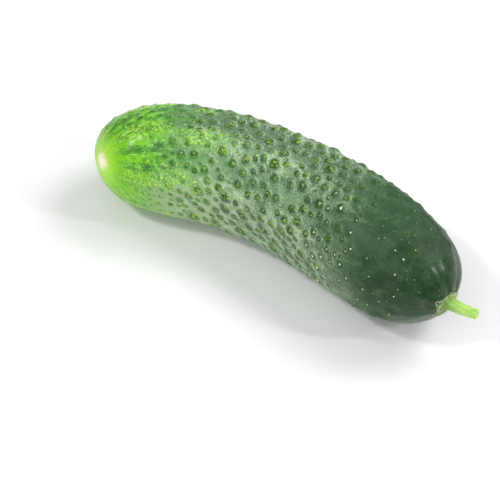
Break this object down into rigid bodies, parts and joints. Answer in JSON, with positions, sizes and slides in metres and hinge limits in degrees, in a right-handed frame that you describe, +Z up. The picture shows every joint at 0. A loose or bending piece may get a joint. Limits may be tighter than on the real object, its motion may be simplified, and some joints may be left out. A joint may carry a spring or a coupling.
{
  "type": "pickling cucumber",
  "caption": "Warty pickling cucumber with a bent, blunt-ended body and a short cut stem, lying on its side on a flat underside.",
  "frame": {"origin": "under the middle of the whole part, on the surface that it lies on", "axes": "+X towards the stem end, +Y towards the side that bulges, +Z up"},
  "size_m": [0.1267, 0.0443, 0.0349],
  "materials": {
    "skin": "waxy dark green skin, bright yellow-green at the blossom end",
    "stem": "fresh yellow-green stalk, finely haired"
  },
  "bodies": {
    "root": {"fruit": "skin", "stem": "stem"}
  },
  "joints": []
}
